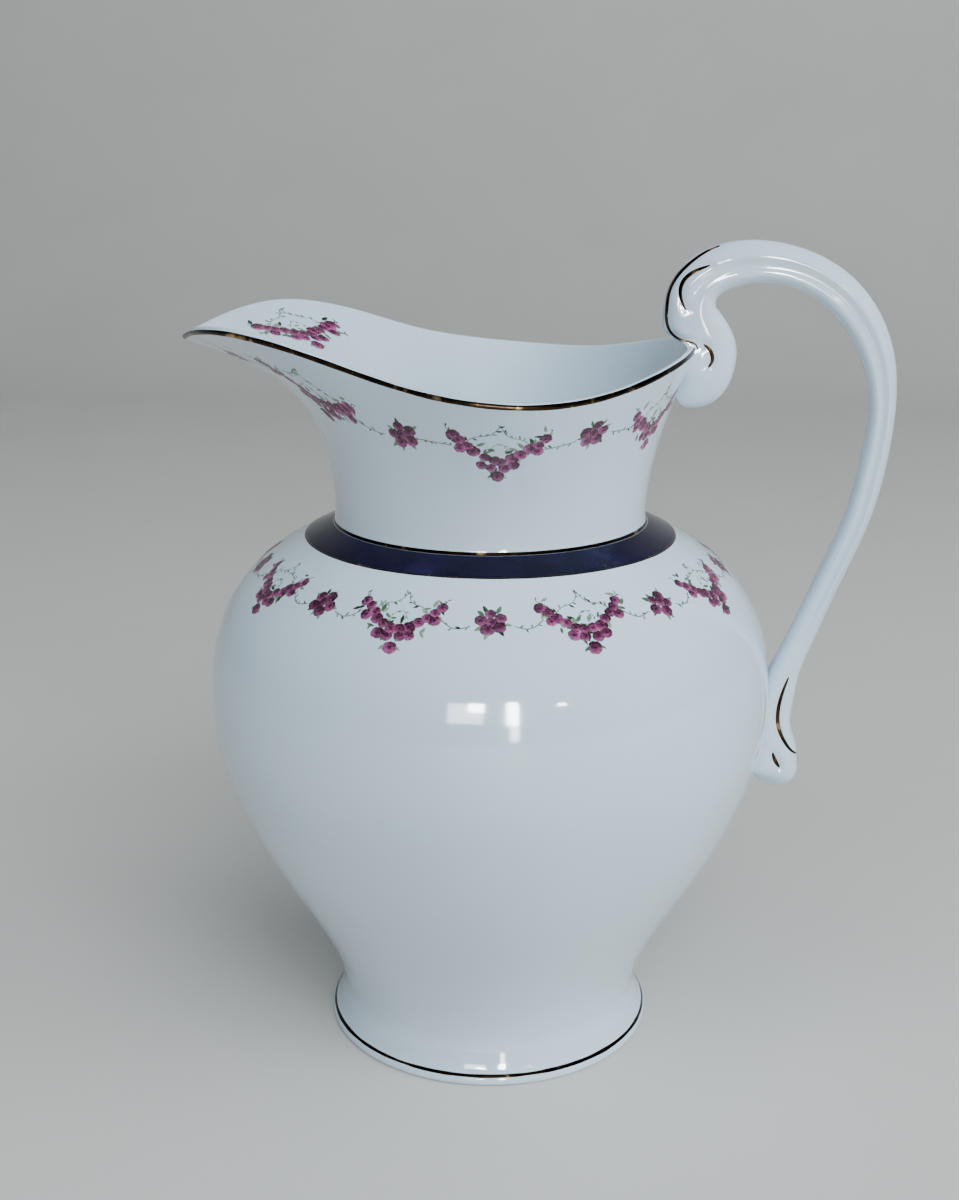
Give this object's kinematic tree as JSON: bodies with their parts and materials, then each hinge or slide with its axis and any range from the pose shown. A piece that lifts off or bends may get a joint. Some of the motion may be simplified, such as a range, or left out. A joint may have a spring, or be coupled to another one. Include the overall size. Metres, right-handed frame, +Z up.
{
  "type": "pouring jug",
  "caption": "Large footed porcelain jug with a broad pouring lip, looped handle, cobalt collar band, gilt lines and rose garlands.",
  "frame": {"origin": "on the table under the middle of the overall length from lip to handle; the jug's own axis stands 16.3 mm towards the lip", "axes": "+Z up, -X towards the pouring lip, +X towards the handle, Y across the jug"},
  "size_m": [0.2574, 0.2094, 0.3016],
  "materials": {
    "porcelain": "glossy bluish-white glaze",
    "cobalt": "glossy cobalt blue ground under clear glaze",
    "gilding": "burnished gold line, worn thin in places",
    "rose_enamel": "fired enamel transfer of pink roses with grey-green leaves"
  },
  "bodies": {
    "root": {"foot": "porcelain", "belly": "porcelain", "neck": "porcelain", "handle": "porcelain", "cobalt_band": "cobalt", "rim_gilding": "gilding", "collar_gilding": "gilding", "band_gilding": "gilding", "foot_gilding": "gilding", "left_comma": "gilding", "left_curl": "gilding", "left_hook": "gilding", "left_long_stroke": "gilding", "left_short_stroke": "gilding", "lip_swag_left": "rose_enamel", "lip_swag_right": "rose_enamel", "neck_posy_1": "rose_enamel", "neck_posy_3": "rose_enamel", "neck_posy_4": "rose_enamel", "neck_posy_5": "rose_enamel", "neck_posy_6": "rose_enamel", "neck_swag_1": "rose_enamel", "neck_swag_2": "rose_enamel", "neck_swag_3": "rose_enamel", "neck_swag_4": "rose_enamel", "neck_swag_5": "rose_enamel", "neck_swag_6": "rose_enamel", "right_comma": "gilding", "right_curl": "gilding", "right_hook": "gilding", "right_long_stroke": "gilding", "right_short_stroke": "gilding", "shoulder_posy_1": "rose_enamel", "shoulder_posy_2": "rose_enamel", "shoulder_posy_3": "rose_enamel", "shoulder_posy_4": "rose_enamel", "shoulder_posy_5": "rose_enamel", "shoulder_posy_6": "rose_enamel", "shoulder_posy_7": "rose_enamel", "shoulder_posy_8": "rose_enamel", "shoulder_posy_9": "rose_enamel", "shoulder_swag_1": "rose_enamel", "shoulder_swag_2": "rose_enamel", "shoulder_swag_3": "rose_enamel", "shoulder_swag_4": "rose_enamel", "shoulder_swag_5": "rose_enamel", "shoulder_swag_6": "rose_enamel", "shoulder_swag_7": "rose_enamel", "shoulder_swag_8": "rose_enamel", "shoulder_swag_9": "rose_enamel"}
  },
  "joints": []
}
